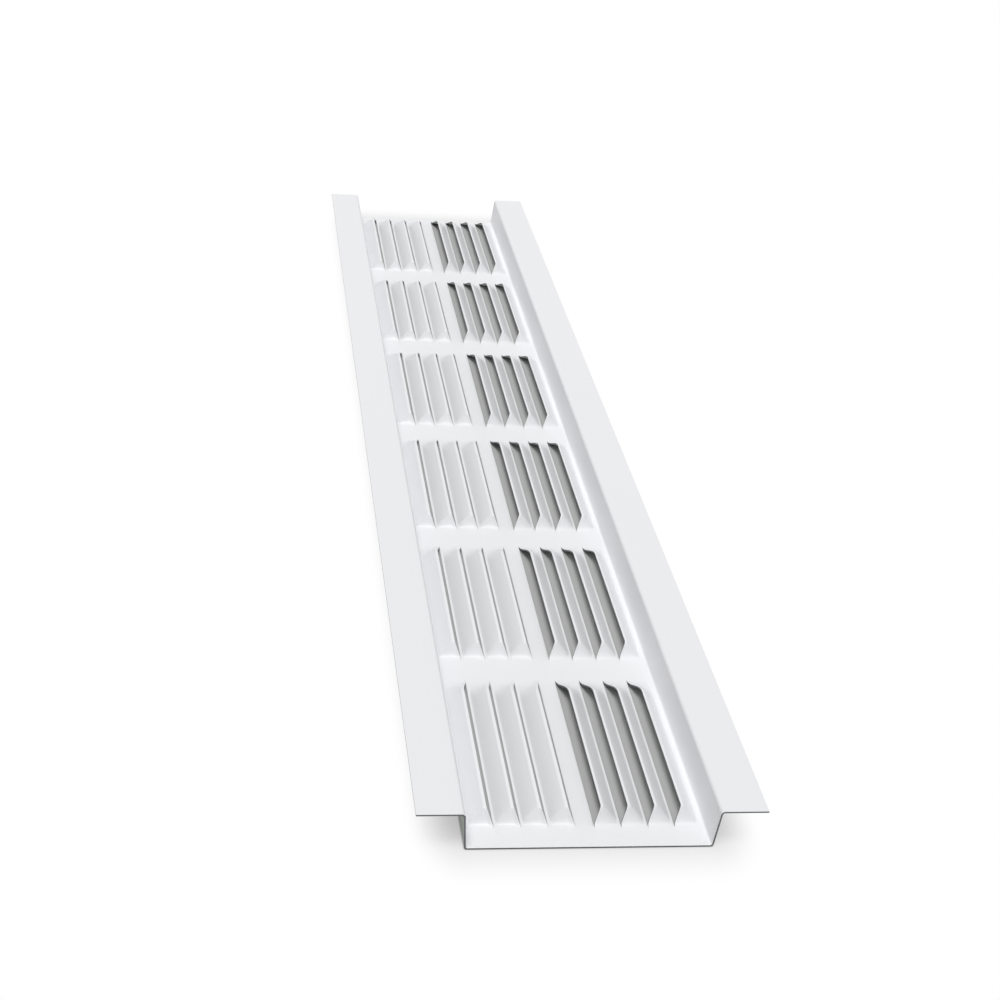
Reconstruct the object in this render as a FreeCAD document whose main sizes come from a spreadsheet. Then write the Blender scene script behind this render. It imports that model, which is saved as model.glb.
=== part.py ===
"""A louvred soffit vent strip, folded and lanced from one thin painted aluminium sheet.

The strip is a shallow channel. A flat pan lies at the bottom, a web stands at each side of it and a
flange turns outwards from the top of each web. The pan carries rows of louvres in two banks. Each
louvre is a blade that is cut from the pan along one slit and pressed upwards, so that its lip stands
clear of the slit while its two ends and its base stay joined to the pan. Both banks face the centre line.

Millimetres. +Y runs along the strip, +Z is up, and the origin lies on the underside of the pan, in the
middle of its width and length.
"""
import FreeCAD, Part
import math
import os

import Sketcher

V = FreeCAD.Vector

# Driving dimensions: alias, value, meaning.
DIMENSIONS = [
    ("sheet_gauge", 0.48, "thickness of the sheet"),
    ("bend_radius", 0.6, "inside radius of the four long bends"),
    ("recess_depth", 11.4, "depth from the flanges down to the pan, measured on one side of the sheet"),
    ("web_lean", 4.75, "angle by which each web leans outwards, degrees"),
    ("flange_width", 12.4, "width of each flange from its bend to its free edge"),
    ("centre_strip", 5.2, "flat strip between the two banks of louvres"),
    ("edge_strip", 1.76, "strip between the outermost louvre and the corner of the pan"),
    ("bank_louvres", 4, "louvres side by side in one bank"),
    ("row_count", 6, "rows of louvres along the strip"),
    ("blade_width", 7.0, "width of a blade across the strip, from its slit to its base"),
    ("land_width", 0.33, "flat land between a blade's base and the next slit"),
    ("slit_length", 66.7, "length of a slit from tip to tip"),
    ("row_gap", 9.5, "flat pan between two rows"),
    ("near_margin", 7.2, "flat pan between the near end of the strip and the first row"),
    ("far_margin", 2.3, "flat pan between the last row and the far end of the strip"),
    ("lip_rise", 4.4, "height of a blade's lip above the pan"),
    ("ramp_angle", 47, "slope of a blade between its two bends, degrees"),
    ("lip_land", 0.3, "level land between the roll and the edge of the lip"),
    ("base_radius", 0.8, "radius of the upper face where a blade leaves the pan"),
    ("lip_radius", 0.9, "radius of the upper face where a blade rolls over to its lip"),
    ("near_taper", 3.4, "length over which a blade rises at its near end"),
    ("far_taper", 9.8, "length over which a blade falls at its far end"),
]

# Dimensions that follow from the driving ones.
DERIVED = [
    ("louvre_pitch", "=blade_width + land_width", "spacing of the louvres across a bank"),
    ("row_pitch", "=slit_length + row_gap", "spacing of the rows along the strip"),
    ("half_centre", "=centre_strip / 2", "first slit's distance from the centre line"),
    ("bank_width", "=bank_louvres * blade_width + (bank_louvres - 1) * land_width", "one bank of louvres"),
    ("pan_width", "=centre_strip + 2 * (bank_width + edge_strip)", "underside of the pan, corner to corner"),
    ("strip_length", "=near_margin + row_count * slit_length + (row_count - 1) * row_gap + far_margin",
     "length of the strip"),
    ("first_slit_y", "=near_margin - strip_length / 2", "near tips of the first row"),
    ("ramp_length", "=(lip_rise - (base_radius + lip_radius) * (1 - cos(ramp_angle * 1 deg)))"
     " / sin(ramp_angle * 1 deg)", "straight part of a blade's section"),
    ("lip_setback", "=blade_width - (base_radius + lip_radius) * sin(ramp_angle * 1 deg)"
     " - ramp_length * cos(ramp_angle * 1 deg) - lip_land", "lip's distance from its slit, across the strip"),
]

ORIGIN_POINT = (-1, 1)
X_AXIS = -1
Y_AXIS = -2
START, END, CENTRE = 1, 2, 3
# Distance in millimetres under which two places count as one.
SAME_PLACE = 0.01


def make_sheet(doc):
    """Writes the driving and derived dimensions into a spreadsheet, one alias to a row."""
    sheet = doc.addObject("Spreadsheet::Sheet", "Dimensions")
    for row, (alias, content, meaning) in enumerate(DIMENSIONS + DERIVED, start=1):
        sheet.set(f"A{row}", alias)
        sheet.set(f"B{row}", str(content))
        sheet.set(f"C{row}", meaning)
        sheet.setAlias(f"B{row}", alias)
    doc.recompute()
    return sheet


def origin_feature(body, role):
    """Returns one of the body's own origin planes or axes."""
    return next(item for item in body.Origin.OriginFeatures if item.Role == role)


def new_sketch(body, name, plane, offset=None):
    """Adds a sketch on an origin plane; offset is an expression for its distance along the plane's normal."""
    sketch = body.newObject("Sketcher::SketchObject", name)
    sketch.AttachmentSupport = (origin_feature(body, plane), [""])
    sketch.MapMode = "FlatFace"
    if offset:
        sketch.setExpression("AttachmentOffset.Base.z", offset)
    return sketch


def add_line(sketch, start, end):
    """Adds a straight edge between two (x, y) points and returns its index."""
    return sketch.addGeometry(Part.LineSegment(V(*start, 0), V(*end, 0)), False)


def add_arc(sketch, centre, radius, first, last):
    """Adds an arc that runs anticlockwise between two angles in radians and returns its index."""
    circle = Part.Circle(V(*centre, 0), V(0, 0, 1), radius)
    return sketch.addGeometry(Part.ArcOfCircle(circle, first, last), False)


def relate(sketch, kind, *where):
    """Adds a geometric constraint."""
    sketch.addConstraint(Sketcher.Constraint(kind, *where))


def measure(sketch, name, expression, kind, *where):
    """Adds a named dimension and binds it to an expression on the spreadsheet."""
    index = sketch.addConstraint(Sketcher.Constraint(kind, *where))
    sketch.renameConstraint(index, name)
    sketch.setExpression(f"Constraints.{name}", expression)


def polyline(sketch, points):
    """Adds a closed outline of straight edges, joined end to end, and returns the indices."""
    edges = [add_line(sketch, a, b) for a, b in zip(points, points[1:] + points[:1])]
    for a, b in zip(edges, edges[1:] + edges[:1]):
        relate(sketch, "Coincident", a, END, b, START)
    return edges


def fold_section(body, size):
    """Sketches the channel's cross-section with sharp corners: pan, two webs and two flanges of one gauge."""
    lean = math.radians(size.web_lean)
    half, rise, gauge = size.pan_width / 2, size.recess_depth, size.sheet_gauge
    inset = gauge / math.cos(lean)
    lower = [(half, 0), (half + rise * math.tan(lean), rise)]
    lower.append((lower[1][0] + size.flange_width, rise))
    upper = [(lower[2][0], rise + gauge)]
    upper += [(half + z * math.tan(lean) - inset, z) for z in (rise + gauge, gauge)]
    right = lower + upper
    left = [(-x, z) for x, z in reversed(right)]
    outline = left[3:] + right + left[:3]

    sketch = new_sketch(body, "FoldSection", "XZ_Plane")
    edges = polyline(sketch, outline)
    pan, web, flange, free_edge, flange_top, web_inner, pan_top = edges[2:9]
    for first, second in ((0, 5), (1, 4), (2, 3), (11, 6), (10, 7), (9, 8)):
        relate(sketch, "Symmetric", edges[first], START, edges[second], START, Y_AXIS)
    relate(sketch, "Horizontal", flange)
    relate(sketch, "Horizontal", flange_top)
    relate(sketch, "Vertical", free_edge)
    relate(sketch, "PointOnObject", web, START, X_AXIS)
    relate(sketch, "Parallel", web, web_inner)
    measure(sketch, "pan", "Dimensions.pan_width", "DistanceX", pan, START, pan, END, 2 * half)
    measure(sketch, "pan_gauge", "Dimensions.sheet_gauge", "DistanceY", web, START, pan_top, START, gauge)
    measure(sketch, "recess", "Dimensions.recess_depth", "DistanceY", web, START, web, END, rise)
    measure(sketch, "lean", "(90 - Dimensions.web_lean) * 1 deg", "Angle", web, math.pi / 2 - lean)
    measure(sketch, "web_gauge", "Dimensions.sheet_gauge", "Distance", web, START, web_inner, gauge)
    measure(sketch, "flange", "Dimensions.flange_width", "DistanceX", flange, START, flange, END,
            size.flange_width)
    measure(sketch, "flange_gauge", "Dimensions.sheet_gauge", "DistanceY", free_edge, START, free_edge, END,
            gauge)
    return sketch


def long_edges(shape, places):
    """Names the edges that run along the strip through the given (x, z) places on either side."""
    names = []
    for number, edge in enumerate(shape.Edges, start=1):
        middle = edge.CenterOfMass
        along = abs(edge.Vertexes[0].Y - edge.Vertexes[-1].Y) > edge.Length / 2
        if along and any(math.hypot(abs(middle.x) - x, middle.z - z) < SAME_PLACE for x, z in places):
            names.append(f"Edge{number}")
    return names


def add_bends(body, doc, base, size):
    """Rounds the four long corners of the channel, inside and outside, as the folded sheet is."""
    lean = math.radians(size.web_lean)
    half, rise, gauge = size.pan_width / 2, size.recess_depth, size.sheet_gauge
    inset = gauge / math.cos(lean)
    inner = [(half + gauge * math.tan(lean) - inset, gauge), (half + rise * math.tan(lean), rise)]
    outer = [(half, 0), (half + (rise + gauge) * math.tan(lean) - inset, rise + gauge)]
    for name, places, radius in (("InsideBends", inner, "Dimensions.bend_radius"),
                                 ("OutsideBends", outer, "Dimensions.bend_radius + Dimensions.sheet_gauge")):
        bends = body.newObject("PartDesign::Fillet", name)
        bends.Base = (base, long_edges(base.Shape, places))
        bends.setExpression("Radius", radius)
        doc.recompute()
        base = bends
    return base


def blade_face(sketch, name, heel, start, radii, size):
    """Adds one face of a blade's section: a foot arc up from the heel, a straight ramp and a rolled arc.

    heel is the heel's edge and the end that the face starts from, start is that corner's (x, z), and radii
    are the face's foot and roll radii, each with its expression. Returns the roll's index and where it ends.
    """
    (foot_radius, foot_rule), (roll_radius, roll_rule) = radii
    ramp, length = math.radians(size.ramp_angle), size.ramp_length
    x, z = start
    ramp_foot = (x - foot_radius * math.sin(ramp), z + foot_radius * (1 - math.cos(ramp)))
    ramp_head = (ramp_foot[0] - length * math.cos(ramp), ramp_foot[1] + length * math.sin(ramp))
    centre = (ramp_head[0] - roll_radius * math.sin(ramp), ramp_head[1] - roll_radius * math.cos(ramp))

    foot = add_arc(sketch, (x, z + foot_radius), foot_radius, 1.5 * math.pi - ramp, 1.5 * math.pi)
    straight = add_line(sketch, ramp_foot, ramp_head)
    roll = add_arc(sketch, centre, roll_radius, 0.5 * math.pi - ramp, 0.5 * math.pi)
    relate(sketch, "Coincident", foot, END, *heel)
    relate(sketch, "Vertical", foot, CENTRE, *heel)
    relate(sketch, "Tangent", foot, START, straight, START)
    relate(sketch, "Tangent", straight, END, roll, START)
    relate(sketch, "Vertical", roll, CENTRE, roll, END)
    measure(sketch, f"{name}_foot", foot_rule, "Radius", foot, foot_radius)
    measure(sketch, f"{name}_roll", roll_rule, "Radius", roll, roll_radius)
    measure(sketch, f"{name}_ramp", "Dimensions.ramp_length", "Distance", straight, length)
    measure(sketch, f"{name}_slope", "(180 - Dimensions.ramp_angle) * 1 deg", "Angle", straight,
            math.pi - ramp)
    return roll, (centre[0], centre[1] + roll_radius)


def upper_radii(size):
    """Returns the foot and roll radii of a blade's upper face with their expressions."""
    return (size.base_radius, "Dimensions.base_radius"), (size.lip_radius, "Dimensions.lip_radius")


def lower_radii(size):
    """Returns the foot and roll radii of a blade's lower face with their expressions."""
    return ((size.base_radius + size.sheet_gauge, "Dimensions.base_radius + Dimensions.sheet_gauge"),
            (size.lip_radius - size.sheet_gauge, "Dimensions.lip_radius - Dimensions.sheet_gauge"))


def add_blade(body, size):
    """Pads one blade from tip to tip: a foot, a ramp, a rolled lip and a short level land."""
    gauge, base = size.sheet_gauge, size.half_centre + size.blade_width
    sketch = new_sketch(body, "BladeSection", "XZ_Plane", "-Dimensions.first_slit_y")
    heel = add_line(sketch, (base, 0), (base, gauge))
    relate(sketch, "Vertical", heel)
    relate(sketch, "PointOnObject", heel, START, X_AXIS)
    measure(sketch, "base", "Dimensions.half_centre + Dimensions.blade_width",
            "DistanceX", *ORIGIN_POINT, heel, START, base)
    measure(sketch, "gauge", "Dimensions.sheet_gauge", "DistanceY", heel, START, heel, END, gauge)
    lands, edges = [], []
    faces = (("upper", END, gauge, upper_radii(size)), ("lower", START, 0, lower_radii(size)))
    for face, corner, z, radii in faces:
        roll, (x_roll, z_roll) = blade_face(sketch, face, (heel, corner), (base, z), radii, size)
        edges.append((x_roll - size.lip_land, z_roll))
        lands.append(add_line(sketch, (x_roll, z_roll), edges[-1]))
        relate(sketch, "Coincident", roll, END, lands[-1], START)
        relate(sketch, "Horizontal", lands[-1])
        measure(sketch, f"{face}_land", "Dimensions.lip_land", "Distance", lands[-1], size.lip_land)
    lip = add_line(sketch, *edges)
    relate(sketch, "Coincident", lands[0], END, lip, START)
    relate(sketch, "Coincident", lip, END, lands[1], END)
    blade = body.newObject("PartDesign::Pad", "Blade")
    blade.Profile = sketch
    blade.Reversed = True
    blade.setExpression("Length", "Dimensions.slit_length")
    return blade


def trim_over_blade(body, size):
    """Cuts away what stands over the blade's upper face, between its heel and its lip."""
    gauge, base = size.sheet_gauge, size.half_centre + size.blade_width
    top = size.lip_rise + 2 * gauge
    sketch = new_sketch(body, "OverBlade", "XZ_Plane", "-Dimensions.first_slit_y")
    side = add_line(sketch, (base, gauge), (base, top))
    relate(sketch, "Vertical", side)
    measure(sketch, "base", "Dimensions.half_centre + Dimensions.blade_width",
            "DistanceX", *ORIGIN_POINT, side, START, base)
    measure(sketch, "gauge", "Dimensions.sheet_gauge", "DistanceY", *ORIGIN_POINT, side, START, gauge)
    roll, (x_roll, z_roll) = blade_face(sketch, "upper", (side, START), (base, gauge), upper_radii(size),
                                        size)
    riser = add_line(sketch, (x_roll, z_roll), (x_roll, top))
    ceiling = add_line(sketch, (x_roll, top), (base, top))
    relate(sketch, "Coincident", roll, END, riser, START)
    relate(sketch, "Coincident", riser, END, ceiling, START)
    relate(sketch, "Coincident", ceiling, END, side, END)
    relate(sketch, "Vertical", riser)
    relate(sketch, "Horizontal", ceiling)
    measure(sketch, "clearance", "Dimensions.sheet_gauge", "DistanceY", riser, START, riser, END, gauge)
    trim = body.newObject("PartDesign::Pocket", "BladeTrim")
    trim.Profile = sketch
    trim.setExpression("Length", "Dimensions.slit_length")
    return trim


def end_outlines(sketch, size, over):
    """Draws both ends' slopes seen from the side: the sloping plates, or the space over them."""
    gauge, rise = size.sheet_gauge, size.lip_rise
    floor = gauge if over else 0
    far_tip = size.first_slit_y + size.slit_length
    for end, tip, head, tip_rule in (
            ("near", size.first_slit_y, size.first_slit_y + size.near_taper, "Dimensions.first_slit_y"),
            ("far", far_tip, far_tip - size.far_taper, "Dimensions.first_slit_y + Dimensions.slit_length")):
        last = floor + gauge + (rise if over else 0)
        slope, head_edge, upper, tip_edge = polyline(
            sketch, [(tip, floor), (head, floor + rise), (head, floor + rise + gauge), (tip, last)])
        relate(sketch, "Vertical", head_edge)
        relate(sketch, "Vertical", tip_edge)
        measure(sketch, f"{end}_tip", tip_rule, "DistanceX", *ORIGIN_POINT, slope, START, tip)
        taper = (slope, START, slope, END) if end == "near" else (slope, END, slope, START)
        measure(sketch, f"{end}_taper", f"Dimensions.{end}_taper", "DistanceX", *taper, abs(head - tip))
        measure(sketch, f"{end}_rise", "Dimensions.lip_rise", "DistanceY", slope, START, slope, END, rise)
        measure(sketch, f"{end}_head", "Dimensions.sheet_gauge", "DistanceY",
                head_edge, START, head_edge, END, gauge)
        if over:
            relate(sketch, "Horizontal", upper)
            measure(sketch, f"{end}_floor", "Dimensions.sheet_gauge", "DistanceY",
                    *ORIGIN_POINT, slope, START, gauge)
        else:
            relate(sketch, "PointOnObject", slope, START, X_AXIS)
            measure(sketch, f"{end}_foot", "Dimensions.sheet_gauge", "DistanceY",
                    tip_edge, END, tip_edge, START, gauge)


def add_ends(body, size):
    """Pads the sloping plates that close a blade's two ends, the full width of its window."""
    sketch = new_sketch(body, "EndSlopes", "YZ_Plane", "Dimensions.half_centre")
    end_outlines(sketch, size, over=False)
    ends = body.newObject("PartDesign::Pad", "EndPlates")
    ends.Profile = sketch
    ends.setExpression("Length", "Dimensions.blade_width")
    return ends


def trim_over_ends(body, size):
    """Cuts away what stands over the two sloping plates."""
    sketch = new_sketch(body, "OverEnds", "YZ_Plane", "Dimensions.half_centre")
    end_outlines(sketch, size, over=True)
    trim = body.newObject("PartDesign::Pocket", "EndTrim")
    trim.Profile = sketch
    trim.Reversed = True
    trim.setExpression("Length", "Dimensions.blade_width")
    return trim


def cut_throat(body, size):
    """Cuts the open throat between the slit and the lip, which narrows to a point at each tip of the slit."""
    slit = size.half_centre
    lip = slit + size.lip_setback
    near, far = size.first_slit_y, size.first_slit_y + size.slit_length
    sketch = new_sketch(body, "ThroatOutline", "XY_Plane")
    near_edge, lip_edge, far_edge, slit_edge = polyline(
        sketch, [(slit, near), (lip, near + size.near_taper), (lip, far - size.far_taper), (slit, far)])
    relate(sketch, "Vertical", lip_edge)
    relate(sketch, "Vertical", slit_edge)
    measure(sketch, "slit", "Dimensions.half_centre", "DistanceX", *ORIGIN_POINT, near_edge, START, slit)
    measure(sketch, "setback", "Dimensions.lip_setback", "DistanceX",
            near_edge, START, near_edge, END, lip - slit)
    measure(sketch, "near", "Dimensions.first_slit_y", "DistanceY", *ORIGIN_POINT, near_edge, START, near)
    measure(sketch, "near_taper", "Dimensions.near_taper", "DistanceY",
            near_edge, START, near_edge, END, size.near_taper)
    measure(sketch, "far_taper", "Dimensions.far_taper", "DistanceY",
            far_edge, START, far_edge, END, size.far_taper)
    measure(sketch, "length", "Dimensions.slit_length", "DistanceY",
            slit_edge, END, slit_edge, START, far - near)
    throat = body.newObject("PartDesign::Pocket", "Throat")
    throat.Profile = sketch
    throat.Reversed = True
    throat.setExpression("Length", "Dimensions.lip_rise + Dimensions.sheet_gauge")
    return throat


def add_window(body, size):
    """Cuts the window that one blade is pressed out of, from its slit to its base and from tip to tip."""
    near, far = size.first_slit_y, size.first_slit_y + size.slit_length
    slit, base = size.half_centre, size.half_centre + size.blade_width
    sketch = new_sketch(body, "WindowOutline", "XY_Plane")
    front, side, back, slit_edge = polyline(sketch, [(slit, near), (base, near), (base, far), (slit, far)])
    relate(sketch, "Horizontal", front)
    relate(sketch, "Horizontal", back)
    relate(sketch, "Vertical", side)
    relate(sketch, "Vertical", slit_edge)
    measure(sketch, "slit", "Dimensions.half_centre", "DistanceX", *ORIGIN_POINT, front, START, slit)
    measure(sketch, "width", "Dimensions.blade_width", "DistanceX", front, START, front, END, base - slit)
    measure(sketch, "near", "Dimensions.first_slit_y", "DistanceY", *ORIGIN_POINT, front, START, near)
    measure(sketch, "length", "Dimensions.slit_length", "DistanceY", side, START, side, END, far - near)
    window = body.newObject("PartDesign::Pocket", "Window")
    window.Profile = sketch
    window.Reversed = True
    window.setExpression("Length", "Dimensions.sheet_gauge")
    return window


def repeat_louvre(body, louvre):
    """Repeats the louvre across its bank, along the strip, and in the bank on the other side."""
    field = body.newObject("PartDesign::MultiTransform", "LouvreField")
    field.Originals = louvre
    across = body.newObject("PartDesign::LinearPattern", "AcrossBank")
    across.Direction = (origin_feature(body, "X_Axis"), [""])
    across.Mode = "Spacing"
    across.setExpression("Offset", "Dimensions.louvre_pitch")
    across.setExpression("Occurrences", "Dimensions.bank_louvres")
    along = body.newObject("PartDesign::LinearPattern", "AlongStrip")
    along.Direction = (origin_feature(body, "Y_Axis"), [""])
    along.Mode = "Spacing"
    along.setExpression("Offset", "Dimensions.row_pitch")
    along.setExpression("Occurrences", "Dimensions.row_count")
    other_bank = body.newObject("PartDesign::Mirrored", "OtherBank")
    other_bank.MirrorPlane = (origin_feature(body, "YZ_Plane"), [""])
    field.Transformations = [across, along, other_bank]
    body.Tip = field
    return field


def build(doc):
    """Builds the strip and returns its body."""
    size = make_sheet(doc)
    body = doc.addObject("PartDesign::Body", "VentStrip")
    body.Label = "louvred_vent_strip"
    body.Placement = FreeCAD.Placement()
    channel = body.newObject("PartDesign::Pad", "Channel")
    channel.Profile = fold_section(body, size)
    channel.SideType = "Symmetric"
    channel.setExpression("Length", "Dimensions.strip_length")
    doc.recompute()
    add_bends(body, doc, channel, size)
    louvre = []
    for step in (add_window, add_blade, add_ends, trim_over_blade, trim_over_ends, cut_throat):
        louvre.append(step(body, size))
        doc.recompute()
    repeat_louvre(body, louvre)
    doc.recompute()
    return body


def check(doc, bodies):
    """Stops if any object failed to compute or any sub-part's shape isn't one sound solid."""
    failed = [item.Label for item in doc.Objects if {"Invalid", "Error"} & set(item.State)]
    if failed:
        raise RuntimeError(f"failed to compute: {failed}")
    for body in bodies:
        shape = body.Shape
        if shape.isNull() or not shape.isValid() or len(shape.Solids) != 1:
            raise RuntimeError(f"{body.Label} isn't one valid solid")


def main():
    doc = FreeCAD.newDocument("SoffitVent")
    bodies = [build(doc)]
    check(doc, bodies)
    os.makedirs("parts", exist_ok=True)
    for body in bodies:
        body.Shape.exportStep(f"parts/{body.Label}.step")
        box = body.Shape.BoundBox
        print(f"{body.Label}: {box.XLength:.2f} x {box.YLength:.2f} x {box.ZLength:.2f} mm, "
              f"{body.Shape.Volume / 1000:.2f} cm3, {len(body.Shape.Faces)} faces")


main()
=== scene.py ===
import logging
import math
from dataclasses import dataclass
from enum import IntEnum
from typing import Any

import bpy
import numpy as np
from mathutils import Matrix, Vector


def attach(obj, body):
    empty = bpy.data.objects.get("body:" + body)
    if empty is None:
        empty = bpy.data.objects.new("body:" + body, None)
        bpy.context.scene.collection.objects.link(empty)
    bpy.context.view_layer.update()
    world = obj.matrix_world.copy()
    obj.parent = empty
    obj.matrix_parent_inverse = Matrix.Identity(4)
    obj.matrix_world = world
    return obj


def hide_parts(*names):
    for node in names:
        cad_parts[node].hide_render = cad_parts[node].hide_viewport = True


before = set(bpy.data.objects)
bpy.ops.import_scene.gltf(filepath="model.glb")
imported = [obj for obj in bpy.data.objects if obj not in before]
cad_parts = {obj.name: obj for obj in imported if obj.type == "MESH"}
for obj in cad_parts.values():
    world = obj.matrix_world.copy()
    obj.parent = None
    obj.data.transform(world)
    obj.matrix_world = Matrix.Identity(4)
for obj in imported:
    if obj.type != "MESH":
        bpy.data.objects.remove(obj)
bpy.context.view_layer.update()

# The strip lies on its pan along Y, with its near end at -Y and its flanges above the pan.

MM = 0.001
LOG = logging.getLogger("soffit_vent")


class SheetFace(IntEnum):
    """Material slots of the sheet: its painted face, its back and its cut edges."""

    PAINTED = 0
    BACK = 1
    CUT_EDGE = 2


def linear(hex_colour: str) -> tuple[float, float, float, float]:
    """Turns an sRGB hex colour into linear RGBA, by the two branches of the sRGB curve.

    Args:
        hex_colour: Six hex digits, with or without a leading hash.

    Returns:
        Linear red, green, blue and an alpha of one.
    """
    code = hex_colour.lstrip("#")
    srgb = np.array([int(code[i:i + 2], 16) for i in (0, 2, 4)]) / 255.0
    rgb = np.where(srgb <= 0.04045, srgb / 12.92, ((srgb + 0.055) / 1.055) ** 2.4)
    return (*rgb.tolist(), 1.0)


WHITE = linear("#FFFFFF")


def per_metre(size_mm: float) -> float:
    """Scale of a pattern on Object coordinates whose features are size_mm across."""
    return 1.0 / (size_mm * MM)


def add_node(tree: bpy.types.NodeTree, kind: str, *values: Any, settings: dict[str, Any] | None = None,
             **links: Any) -> bpy.types.Node:
    """Adds a node, sets its properties and inputs, and links what is passed as an output socket.

    Args:
        tree: Node tree that gets the node.
        kind: Blender's name of the node type.
        *values: Inputs in the node's own order; a socket is linked and any other value is set.
        settings: Properties of the node itself.
        **links: Inputs by name, with spaces as underscores, given as the values are.

    Returns:
        The new node.
    """
    node = tree.nodes.new(kind)
    for name, value in (settings or {}).items():
        setattr(node, name, value)
    named = {socket.name.replace(" ", "_"): socket
             for socket in reversed(node.inputs) if socket.enabled}
    by_name = [(named[name], value) for name, value in links.items()]
    for socket, value in [*zip(node.inputs, values), *by_name]:
        if isinstance(value, bpy.types.NodeSocket):
            tree.links.new(value, socket)
        else:
            socket.default_value = value
    return node


def new_material(name: str) -> tuple[bpy.types.Material, bpy.types.NodeTree]:
    """Starts an empty node material.

    Args:
        name: The material's name.

    Returns:
        The material and its empty node tree.
    """
    material = bpy.data.materials.new(name)
    material.use_nodes = True
    material.node_tree.nodes.clear()
    return material, material.node_tree


@dataclass(frozen=True)
class CoilCoat:
    """A paint coat rolled on to aluminium coil and baked, with a faint texture and drift of tone.

    The tone drifts by a shade over hand-wide patches, the gloss by a little over coin-sized ones, and
    the fine peel of the rolled paint breaks the highlights softly.
    """

    name: str
    light: str
    dark: str
    roughness: tuple[float, float]
    drift_mm: float = 70.0
    gloss_patch_mm: float = 14.0
    peel_mm: float = 0.9
    peel_depth_mm: float = 0.006
    ior: float = 1.5

    def make(self) -> bpy.types.Material:
        """Mixes the two tones, varies the roughness and adds the peel as a bump.

        Returns:
            The coat's material.
        """
        material, tree = new_material(self.name)
        place = add_node(tree, "ShaderNodeTexCoord").outputs["Object"]
        drift = add_node(tree, "ShaderNodeTexNoise", Vector=place, Scale=per_metre(self.drift_mm),
                         Detail=3.0)
        tone = add_node(tree, "ShaderNodeMix", settings={"data_type": "RGBA"}, Factor=drift.outputs["Fac"],
                        A=linear(self.dark), B=linear(self.light))
        patch = add_node(tree, "ShaderNodeTexNoise", Vector=place, Scale=per_metre(self.gloss_patch_mm),
                         Detail=2.0)
        gloss = add_node(tree, "ShaderNodeMapRange", Value=patch.outputs["Fac"], To_Min=self.roughness[0],
                         To_Max=self.roughness[1])
        peel = add_node(tree, "ShaderNodeTexNoise", Vector=place, Scale=per_metre(self.peel_mm),
                        Detail=1.0)
        relief = add_node(tree, "ShaderNodeBump", Strength=1.0, Distance=self.peel_depth_mm * MM,
                          Height=peel.outputs["Fac"])
        shader = add_node(tree, "ShaderNodeBsdfPrincipled", Base_Color=tone.outputs["Result"],
                          Roughness=gloss.outputs["Result"], Normal=relief.outputs["Normal"],
                          IOR=self.ior)
        add_node(tree, "ShaderNodeOutputMaterial", Surface=shader.outputs["BSDF"])
        return material


@dataclass(frozen=True)
class ShearedEdge:
    """Bare aluminium where the sheet was sheared or lanced: grey and satin, streaked along the cut."""

    name: str
    light: str
    dark: str
    roughness: float = 0.42
    streak_mm: float = 0.5
    streak_length_mm: float = 4.0

    def make(self) -> bpy.types.Material:
        """Mixes the two greys by a noise that is stretched along the strip.

        Returns:
            The edge's material.
        """
        material, tree = new_material(self.name)
        place = add_node(tree, "ShaderNodeTexCoord").outputs["Object"]
        stretch = self.streak_mm / self.streak_length_mm
        along = add_node(tree, "ShaderNodeMapping", Vector=place, Scale=(1.0, stretch, 1.0))
        streak = add_node(tree, "ShaderNodeTexNoise", Vector=along.outputs["Vector"],
                          Scale=per_metre(self.streak_mm), Detail=2.0)
        tone = add_node(tree, "ShaderNodeMix", settings={"data_type": "RGBA"}, Factor=streak.outputs["Fac"],
                        A=linear(self.dark), B=linear(self.light))
        shader = add_node(tree, "ShaderNodeBsdfPrincipled", Base_Color=tone.outputs["Result"], Metallic=1.0,
                          Roughness=self.roughness)
        add_node(tree, "ShaderNodeOutputMaterial", Surface=shader.outputs["BSDF"])
        return material


# Polyester coil enamel: a clean, faintly cool white with a satin sheen.
WHITE_ENAMEL = CoilCoat("white_coil_enamel", light="#E8E8EA", dark="#E5E6E8", roughness=(0.36, 0.46))
# Thin wash coat on the back of the coil: a pale greenish grey, matt, which looks dull in the shade.
WASH_COAT = CoilCoat("grey_wash_coat", light="#D2D8D1", dark="#C6CCC5", roughness=(0.55, 0.7))
# Raw sheared aluminium on every cut edge, in greys darker than bare metal so that the edges show as
# thin shaded lines: partly its own grey, partly painted shade.
SHADED_CUT_ALUMINIUM = ShearedEdge("sheared_aluminium_edge", light="#7C7E80", dark="#4E5052")


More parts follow.
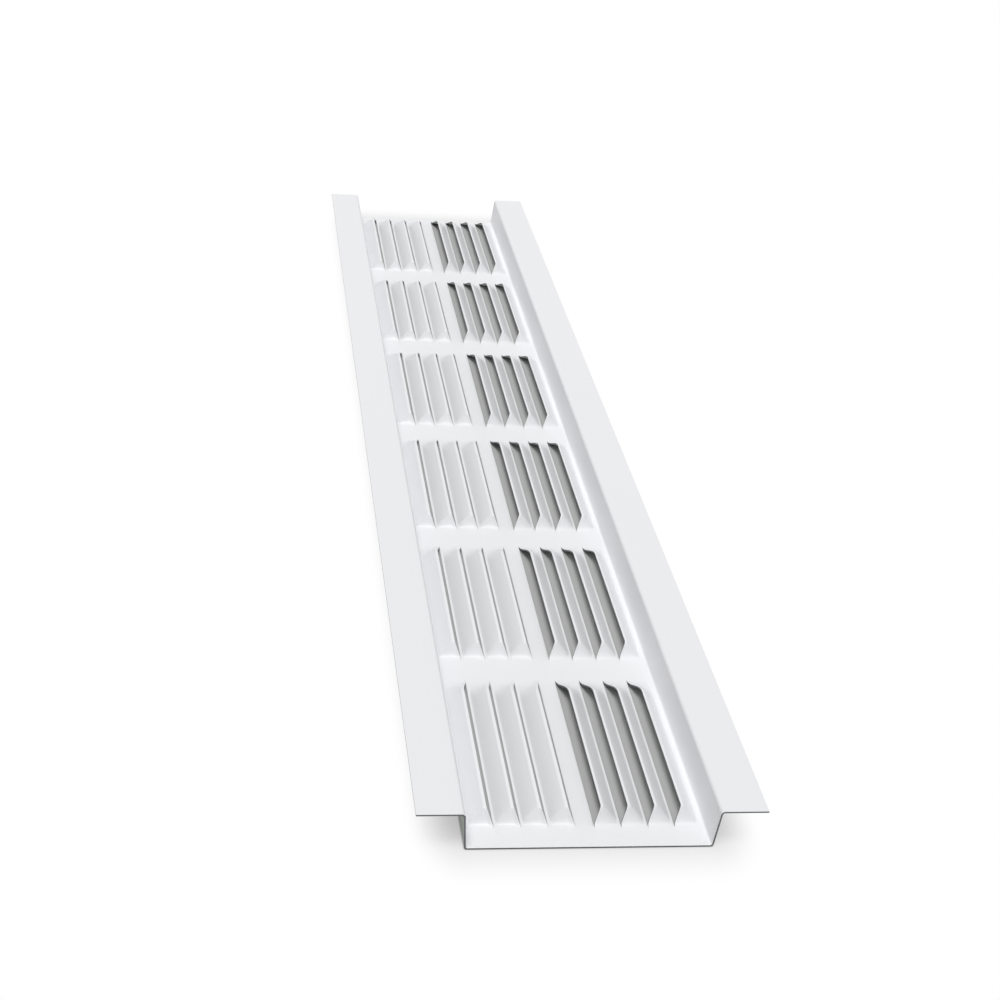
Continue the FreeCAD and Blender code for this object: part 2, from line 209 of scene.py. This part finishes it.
@dataclass
class VentStrip:
    """The folded and lanced sheet, from one flange to the other, in millimetres and degrees.

    Its upper face is a grid of columns, numbered across the section from flange to flange, and of rows,
    numbered along the strip. Each slit is a pair of columns that part where the slit is open. The
    finishes are in the order of SheetFace.
    """

    gauge: float = 0.48
    bend_radius: float = 0.6
    recess_depth: float = 11.4
    web_lean: float = 4.75
    flange_width: float = 12.4
    half_centre: float = 2.6
    edge_strip: float = 1.76
    bank_louvres: int = 4
    row_count: int = 6
    blade_width: float = 7.0
    land_width: float = 0.33
    slit_length: float = 66.7
    row_gap: float = 9.5
    near_margin: float = 7.2
    far_margin: float = 2.3
    lip_rise: float = 4.4
    ramp_angle: float = 47.0
    lip_land: float = 0.3
    base_radius: float = 0.8
    lip_radius: float = 0.9
    slit_roll: float = 0.3
    slit_drop: float = 0.22
    slit_open: float = 0.25
    near_ease: float = 4.2
    near_tail: float = 0.13
    tail_ease: float = 2.0
    tail_length: float = 1.1
    far_ease: float = 12.0
    foot_steps: int = 4
    roll_steps: int = 6
    slit_steps: int = 3
    bend_steps: int = 6
    flange_steps: int = 4
    end_steps: int = 15
    sharp_angle: float = 24.0
    finishes: tuple[CoilCoat | ShearedEdge, ...] = (WHITE_ENAMEL, WASH_COAT, SHADED_CUT_ALUMINIUM)

    def blade_profile(self) -> tuple[np.ndarray, np.ndarray]:
        """Upper face of a raised blade, from its heel to the edge of its lip.

        The foot is an arc of base_radius that turns up from level to ramp_angle. A straight ramp follows,
        then an arc of lip_radius that turns back to level, and a short level land. The ramp is as long as
        the rise leaves it.

        Returns:
            Distance from the heel and height over the pan, one value to a column.
        """
        ramp = math.radians(self.ramp_angle)
        arcs_rise = (self.base_radius + self.lip_radius) * (1 - math.cos(ramp))
        length = (self.lip_rise - arcs_rise) / math.sin(ramp)
        turn = np.linspace(0.0, ramp, self.foot_steps + 1)
        foot_run = self.base_radius * np.sin(turn)
        foot_rise = self.base_radius * (1 - np.cos(turn))
        top_run = foot_run[-1] + length * math.cos(ramp)
        top_rise = foot_rise[-1] + length * math.sin(ramp)
        back = np.linspace(ramp, 0.0, self.roll_steps + 1)
        roll_run = top_run + self.lip_radius * (math.sin(ramp) - np.sin(back))
        roll_rise = top_rise + self.lip_radius * (np.cos(back) - math.cos(ramp))
        run = np.concatenate([foot_run, roll_run, roll_run[-1:] + self.lip_land])
        rise = np.concatenate([foot_rise, roll_rise, roll_rise[-1:]])
        return run, rise

    def rows(self) -> tuple[np.ndarray, np.ndarray]:
        """Places of the rows along the strip and how far the blades are raised at each.

        A blade rises from its near tip over near_ease, stays raised, and falls to its far tip over
        far_ease. Each climb follows 3t^2 - 2t^3, which leaves one level and reaches the next without a
        corner. The near end is the sum of two climbs: the share near_tail over tail_ease from the tip,
        and the rest from tail_length on, so that the slit ends there in a thin tail. This is repeated at
        each pitch, between a flat margin at either end.

        Returns:
            Distance along the strip from its middle, and the blades' share of their full height.
        """
        share = np.linspace(0.0, 1.0, self.end_steps + 1)
        near = self.near_ease * share
        first = np.clip(near / self.tail_ease, 0.0, 1.0)
        second = np.clip((near - self.tail_length) / (self.near_ease - self.tail_length), 0.0, 1.0)
        steps = np.stack([first, second, share[::-1]])
        first, second, far_climb = steps ** 2 * (3.0 - 2.0 * steps)
        one_climb = np.concatenate([self.near_tail * first + (1.0 - self.near_tail) * second, far_climb])
        one_row = np.concatenate([near, self.slit_length - self.far_ease * share[::-1]])
        pitch = self.slit_length + self.row_gap
        length = self.near_margin + self.row_count * pitch - self.row_gap + self.far_margin
        starts = self.near_margin + pitch * np.arange(self.row_count)
        along = np.concatenate([[0.0], (starts[:, None] + one_row).ravel(), [length]])
        raised = np.concatenate([[0.0], np.tile(one_climb, self.row_count), [0.0]])
        return along - length / 2, raised

    def side_profile(self) -> tuple[np.ndarray, np.ndarray]:
        """Upper face of the sheet outside the louvres: lower bend, web, upper bend and flange.

        The two bends are arcs that turn from level to the web's slope and back. On the upper face the
        lower one has the inside radius, and the upper one the outside radius.

        Returns:
            Distance from the centre line and height over the pan's upper face.
        """
        lean = math.radians(self.web_lean)
        slope = math.pi / 2 - lean
        inside, outside = self.bend_radius, self.bend_radius + self.gauge
        bank = self.bank_louvres * (self.blade_width + self.land_width) - self.land_width
        half_pan = self.half_centre + bank + self.edge_strip
        foot = half_pan + self.gauge * math.tan(lean) - self.gauge / math.cos(lean)
        head = foot + self.recess_depth * math.tan(lean)
        turn = np.linspace(0.0, slope, self.bend_steps + 1)
        tangent = inside * math.tan(slope / 2)
        low_x = foot - tangent + inside * np.sin(turn)
        low_z = inside * (1 - np.cos(turn))
        back = turn[::-1]
        tangent = outside * math.tan(slope / 2)
        high_x = head + tangent - outside * np.sin(back)
        high_z = self.recess_depth - outside * (1 - np.cos(back))
        edge = half_pan + self.recess_depth * math.tan(lean) + self.flange_width
        flange_x = np.linspace(high_x[-1], edge, self.flange_steps + 1)[1:]
        across = np.concatenate([low_x, high_x, flange_x])
        height = np.concatenate([low_z, high_z, np.full(len(flange_x), self.recess_depth)])
        return across, height

    def half_grid(self) -> tuple[np.ndarray, np.ndarray, np.ndarray]:
        """Right half of the upper face: the centre line, the bank of louvres, the web and the flange.

        A blade's section is its profile times its share of the height, and its lip reaches out to the
        slit as that share goes to zero. The pan's own edge of a slit is rolled down by the shears, over a
        quarter of an ellipse, which is at its full drop where the blade is raised by slit_open or more.

        Returns:
            Distance across and height over the pan, by row and column, and the columns of the slits'
            inner edges; the lip's edge is the next column.
        """
        _, raised = self.rows()
        raised = raised[:, None, None]
        run, rise = self.blade_profile()
        reach = self.blade_width - (self.blade_width - run[-1]) * raised
        run, rise = run[::-1] / run[-1] * reach, rise[::-1] * raised
        turn = np.linspace(0.0, math.pi / 2, self.slit_steps + 1)
        slits = self.half_centre + (self.blade_width + self.land_width) * np.arange(self.bank_louvres)
        edge_x = slits[:, None] - self.slit_roll * (1.0 - np.sin(turn))
        edge_z = -self.slit_drop * (1.0 - np.cos(turn)) * np.minimum(raised / self.slit_open, 1.0)
        blade_x = (slits + self.blade_width)[:, None] - run
        count, columns = len(raised), len(turn) + run.shape[2]
        blade_x = np.concatenate([np.tile(edge_x, (count, 1, 1)), blade_x], axis=2)
        blade_z = np.tile(np.concatenate([edge_z, rise], axis=2), (1, self.bank_louvres, 1))
        side_x, side_z = self.side_profile()
        middle = np.zeros((count, 1))
        across = np.hstack([middle, blade_x.reshape(count, -1), np.tile(side_x, (count, 1))])
        height = np.hstack([middle, blade_z.reshape(count, -1), np.tile(side_z, (count, 1))])
        return across, height, self.slit_steps + 1 + columns * np.arange(self.bank_louvres)

    def build_mesh(self) -> bpy.types.Mesh:
        """Joins the two halves into one upper face, open along its slits.

        The left half mirrors the right one. Each cell of the grid is a four-sided face, but not between
        the two columns of a slit. At a tip, both sides of the slit are one corner.

        Returns:
            The mesh of the upper face, in metres.
        """
        along, raised = self.rows()
        half_x, half_z, half_slits = self.half_grid()
        across = np.hstack([-half_x[:, :0:-1], half_x])
        height = np.hstack([half_z[:, :0:-1], half_z]) + self.gauge
        count, width = across.shape
        middle = half_x.shape[1] - 1
        lengthwise = np.broadcast_to(along[:, None], across.shape)
        points = np.stack([across, lengthwise, height], axis=2)

        corner = np.arange(count * width).reshape(count, width)
        right_slit, left_slit = middle + half_slits, middle - half_slits
        flat = raised == 0.0
        for slit, lip in ((right_slit, right_slit + 1), (left_slit, left_slit - 1)):
            corner[:, lip] = np.where(flat[:, None], corner[:, slit], corner[:, lip])

        near_left, near_right = corner[:-1, :-1], corner[:-1, 1:]
        far_left, far_right = corner[1:, :-1], corner[1:, 1:]
        cells = np.stack([near_left, near_right, far_right, far_left], axis=2)
        cut = np.zeros(width - 1, bool)
        cut[right_slit] = True
        cut[left_slit - 1] = True
        used, index = np.unique(cells[:, ~cut].ravel(), return_inverse=True)
        mesh = bpy.data.meshes.new("louvred_sheet")
        places = points.reshape(-1, 3)[used] * MM
        mesh.from_pydata(places.tolist(), [], index.reshape(-1, 4).tolist())
        mesh.validate()
        return mesh

    def build(self) -> bpy.types.Object:
        """Gives the upper face its thickness, its three finishes and its place in the frame.

        Returns:
            The finished piece.
        """
        piece = bpy.data.objects.new("louvred_sheet", self.build_mesh())
        bpy.context.scene.collection.objects.link(piece)
        for finish in self.finishes:
            piece.data.materials.append(finish.make())
        wall = piece.modifiers.new("sheet_gauge", "SOLIDIFY")
        wall.thickness = self.gauge * MM
        wall.offset = -1.0
        wall.use_even_offset = True
        wall.use_quality_normals = True
        wall.material_offset = int(SheetFace.BACK)
        wall.material_offset_rim = int(SheetFace.CUT_EDGE)
        graph = bpy.context.evaluated_depsgraph_get()
        solid = bpy.data.meshes.new_from_object(piece.evaluated_get(graph), depsgraph=graph)
        piece.modifiers.clear()
        piece.data = solid
        # The rolled edges of the slits would dip below the pan's underside, so nothing goes under it.
        places = np.empty(3 * len(solid.vertices), np.float32)
        solid.vertices.foreach_get("co", places)
        places[2::3] = np.maximum(places[2::3], 0.0)
        solid.vertices.foreach_set("co", places)
        solid.shade_smooth()
        solid.set_sharp_from_angle(angle=math.radians(self.sharp_angle))
        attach(piece, "root")
        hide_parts("louvred_vent_strip")
        return piece


@dataclass
class Studio:
    """Plain pale floor, soft light from high above and a little to the left, and the camera.

    Under the pan, a rectangle of half size pan_mm, the floor shows its own tone. Outside it the camera
    sees white mixed in: the share shadow_lift close by, and all of it at fade_mm beyond the rectangle
    of half size painted_shade_mm. So the floor's grey stays round the strip as a painted soft shade,
    over which the strip's real shadow falls. The camera's place, and its angles in radians, are fitted
    to the strip's corners and the tips of its slits.
    """

    floor_size: float = 6.0
    # Half size of the rectangle round which the floor's grey stays as a painted soft shade.
    painted_shade_mm: tuple[float, float] = (33.0, 216.5)
    fade_mm: tuple[float, float] = (16.0, 27.5)
    pan_mm: tuple[float, float] = (32.8, 228.2)
    pan_edge_mm: tuple[float, float] = (1.0, 1.0)
    paper_tone: str = "#AEAEAE"
    shadow_lift: float = 0.46
    dome: float = 0.37
    key: float = 2.14
    key_angle: float = 24.0
    key_from: tuple[float, float, float] = (-0.13, -0.22, 0.96)
    camera_mm: tuple[float, float, float] = (-96.35, -555.95, 294.24)
    pitch: float = 0.51922
    yaw: float = 0.15754
    roll: float = 0.09457
    lens: float = 60.39
    shift: float = 0.045
    clip: tuple[float, float] = (0.01, 50.0)

    @staticmethod
    def clear_of(tree: bpy.types.NodeTree, half_mm: tuple[float, float],
                 fade_mm: tuple[float, float]) -> bpy.types.NodeSocket:
        """Works out how far a place on the floor lies outside a rectangle round the origin.

        It is the length of max(|place| - half size, 0) / fade, eased from zero at the rectangle to one.

        Args:
            tree: Node tree of the floor.
            half_mm: Half the rectangle's width and length.
            fade_mm: Distances over which the value goes from zero to one, across and along.

        Returns:
            Zero on the rectangle, one away from it.
        """
        place = add_node(tree, "ShaderNodeTexCoord").outputs["Object"]
        away = add_node(tree, "ShaderNodeVectorMath", place, settings={"operation": "ABSOLUTE"})
        beyond = add_node(tree, "ShaderNodeVectorMath", away.outputs["Vector"],
                          (half_mm[0] * MM, half_mm[1] * MM, 0.0), settings={"operation": "SUBTRACT"})
        outside = add_node(tree, "ShaderNodeVectorMath", beyond.outputs["Vector"], (0.0, 0.0, 0.0),
                           settings={"operation": "MAXIMUM"})
        share = add_node(tree, "ShaderNodeVectorMath", outside.outputs["Vector"],
                         (fade_mm[0] * MM, fade_mm[1] * MM, 1.0), settings={"operation": "DIVIDE"})
        gap = add_node(tree, "ShaderNodeVectorMath", share.outputs["Vector"],
                       settings={"operation": "LENGTH"})
        eased = add_node(tree, "ShaderNodeMapRange", settings={"interpolation_type": "SMOOTHSTEP"},
                         Value=gap.outputs["Value"])
        return eased.outputs["Result"]

    def paper(self) -> bpy.types.Material:
        """Pale paper in one plain tone, which the camera sees as white away from the strip.

        Close by, less white is mixed in, so the paper's grey shows round the strip as a painted soft shade,
        over which the strip's real shadow falls. Under the pan, where the throats show it, no white is
        mixed in.

        Returns:
            The floor's material.
        """
        material, tree = new_material("pale_paper_floor")
        open_floor = self.clear_of(tree, self.pan_mm, self.pan_edge_mm)
        # Painted shade: away from the strip white is mixed in, so the floor's grey shows only round it.
        far_floor = self.clear_of(tree, self.painted_shade_mm, self.fade_mm)
        lifted = add_node(tree, "ShaderNodeMapRange", Value=far_floor, To_Min=self.shadow_lift)
        bright = add_node(tree, "ShaderNodeMath", lifted.outputs["Result"], open_floor,
                          settings={"operation": "MULTIPLY"})
        seen = add_node(tree, "ShaderNodeMath", bright.outputs["Value"], self.background_rays(tree),
                        settings={"operation": "MULTIPLY"})
        paper = add_node(tree, "ShaderNodeBsdfDiffuse", Color=linear(self.paper_tone))
        white = add_node(tree, "ShaderNodeEmission", Color=WHITE, Strength=1.0)
        blend = add_node(tree, "ShaderNodeMixShader", seen.outputs["Value"], paper.outputs["BSDF"],
                         white.outputs["Emission"])
        add_node(tree, "ShaderNodeOutputMaterial", Surface=blend.outputs["Shader"])
        return material

    def floor(self) -> bpy.types.Object:
        """Lays the floor, one square at the level of the pan's underside.

        Returns:
            The floor.
        """
        half = self.floor_size / 2
        corners = half * np.array([[-1, -1, 0], [1, -1, 0], [1, 1, 0], [-1, 1, 0]])
        mesh = bpy.data.meshes.new("floor")
        mesh.from_pydata(corners.tolist(), [], [(0, 1, 2, 3)])
        mesh.materials.append(self.paper())
        floor = bpy.data.objects.new("floor", mesh)
        bpy.context.scene.collection.objects.link(floor)
        return floor

    @staticmethod
    def background_rays(tree: bpy.types.NodeTree) -> bpy.types.NodeSocket:
        """Tells the rays that see the background: camera, glossy and transmission rays.

        Args:
            tree: Node tree of the floor or the world.

        Returns:
            A socket that is one for those rays and zero for others.
        """
        path = add_node(tree, "ShaderNodeLightPath")
        total = path.outputs["Is Camera Ray"]
        for name in ("Is Glossy Ray", "Is Transmission Ray"):
            either = add_node(tree, "ShaderNodeMath", total, path.outputs[name],
                              settings={"operation": "MAXIMUM"})
            total = either.outputs["Value"]
        return total

    def light(self) -> None:
        """Lights the strip with an even dome and one broad soft lamp from high above."""
        world = bpy.data.worlds.new("studio")
        world.use_nodes = True
        tree = world.node_tree
        tree.nodes.clear()
        strength = add_node(tree, "ShaderNodeMapRange", Value=self.background_rays(tree), To_Min=self.dome,
                            To_Max=1.0)
        shine = add_node(tree, "ShaderNodeBackground", Color=WHITE, Strength=strength.outputs["Result"])
        add_node(tree, "ShaderNodeOutputWorld", Surface=shine.outputs["Background"])
        bpy.context.scene.world = world
        lamp = bpy.data.lights.new("key", "SUN")
        lamp.energy = self.key
        lamp.angle = math.radians(self.key_angle)
        key = bpy.data.objects.new("key", lamp)
        key.rotation_euler = Vector(self.key_from).to_track_quat("Z", "Y").to_euler()
        bpy.context.scene.collection.objects.link(key)

    def camera(self) -> bpy.types.Object:
        """Stands the camera where the picture was taken from, a little to the left and above.

        Returns:
            The camera.
        """
        flat = math.cos(self.pitch)
        ahead = Vector((math.sin(self.yaw) * flat, math.cos(self.yaw) * flat, -math.sin(self.pitch)))
        level = Vector((math.cos(self.yaw), -math.sin(self.yaw), 0.0))
        above = level.cross(ahead)
        right = math.cos(self.roll) * level + math.sin(self.roll) * above
        up = math.cos(self.roll) * above - math.sin(self.roll) * level
        turn = Matrix((right, up, -ahead)).transposed()
        data = bpy.data.cameras.new("camera")
        data.lens = self.lens
        data.shift_x = self.shift
        data.clip_start, data.clip_end = self.clip
        camera = bpy.data.objects.new("camera", data)
        camera.matrix_world = Matrix.Translation(Vector(self.camera_mm) * MM) @ turn.to_4x4()
        bpy.context.scene.collection.objects.link(camera)
        bpy.context.scene.camera = camera
        return camera


def main() -> None:
    """Builds the strip and its studio."""
    logging.basicConfig(level=logging.INFO)
    bpy.context.scene.view_settings.view_transform = "Standard"
    studio = Studio()
    studio.camera()
    strip = VentStrip().build()
    LOG.info("%s: %d faces", strip.name, len(strip.data.polygons))
    studio.floor()
    studio.light()
    bpy.context.view_layer.update()


if __name__ == "__main__":
    main()
